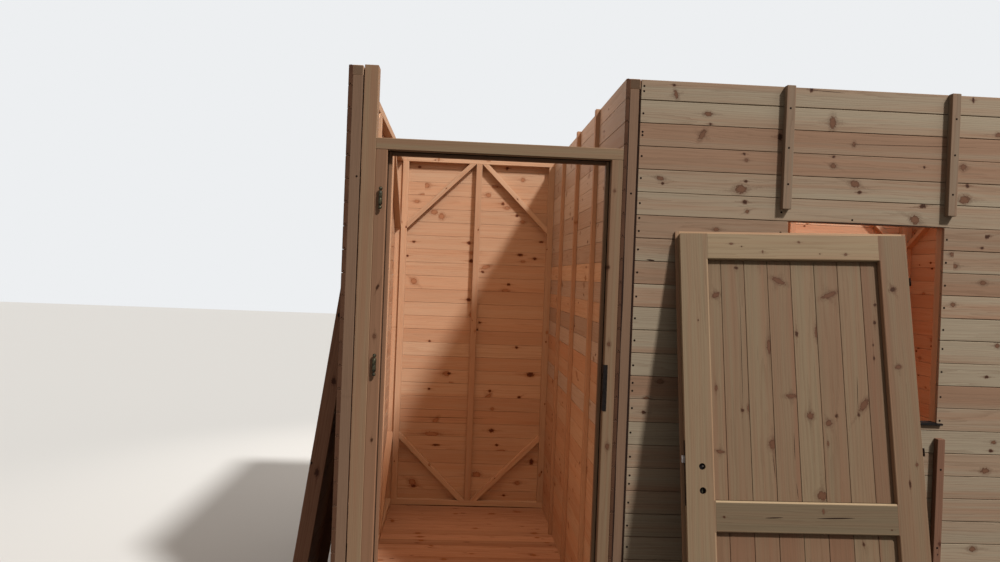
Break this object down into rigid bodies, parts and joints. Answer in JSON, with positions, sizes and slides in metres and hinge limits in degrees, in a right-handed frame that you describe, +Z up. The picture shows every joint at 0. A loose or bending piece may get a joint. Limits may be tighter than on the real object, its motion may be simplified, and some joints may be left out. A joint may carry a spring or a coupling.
{
  "type": "garden house",
  "caption": "Roofless timber garden house of framed board panels with a narrow doorway room, a main room with a window opening, and its door leaf leant on the front.",
  "frame": {"origin": "on the ground under the middle of the walls' plan", "axes": "+X to the right along the front, +Y from the front to the back, +Z up"},
  "size_m": [3.8975, 2.916, 2.528],
  "materials": {
    "wall_boards": "weathered softwood boards outside, fresh pink-brown wood inside",
    "stud_timber": "sawn softwood, satin",
    "batten_timber": "sawn softwood, matte",
    "frame_timber": "planed softwood, matte",
    "floor_timber": "planed softwood boards, matte",
    "leaf_timber": "planed softwood, matte",
    "spare_timber": "dark stained softwood, matte",
    "hinge_iron": "dark bronzed iron",
    "lock_steel": "zinc-plated steel",
    "sill_metal": "dark painted sheet metal"
  },
  "bodies": {
    "root": {"annex_back_boards": "wall_boards", "annex_back_braces": "stud_timber", "annex_back_plates": "stud_timber", "annex_back_studs": "stud_timber", "door_head": "frame_timber", "door_jambs": "frame_timber", "door_sill": "frame_timber", "floor_boards": "floor_timber", "floor_joists": "floor_timber", "floor_sleepers": "floor_timber", "front_post": "frame_timber", "front_wall_battens": "batten_timber", "front_wall_boards": "wall_boards", "front_wall_braces": "stud_timber", "front_wall_plates": "stud_timber", "front_wall_studs": "stud_timber", "hinges": "hinge_iron", "leaf_boards": "leaf_timber", "leaf_lock": "lock_steel", "leaf_rails": "leaf_timber", "leaf_stiles": "leaf_timber", "left_wall_boards": "wall_boards", "left_wall_braces": "stud_timber", "left_wall_plates": "stud_timber", "left_wall_studs": "stud_timber", "main_back_boards": "wall_boards", "main_back_braces": "stud_timber", "main_back_plates": "stud_timber", "main_back_studs": "stud_timber", "outer_battens": "batten_timber", "partition_battens": "batten_timber", "partition_boards": "wall_boards", "partition_braces": "stud_timber", "partition_plates": "stud_timber", "partition_studs": "stud_timber", "right_wall_boards": "wall_boards", "right_wall_braces": "stud_timber", "right_wall_plates": "stud_timber", "right_wall_studs": "stud_timber", "spare_boards": "spare_timber", "spare_ends": "spare_timber", "spare_sides": "spare_timber", "strike_plate": "lock_steel", "window_rails": "stud_timber", "window_sill": "sill_metal"}
  },
  "joints": []
}
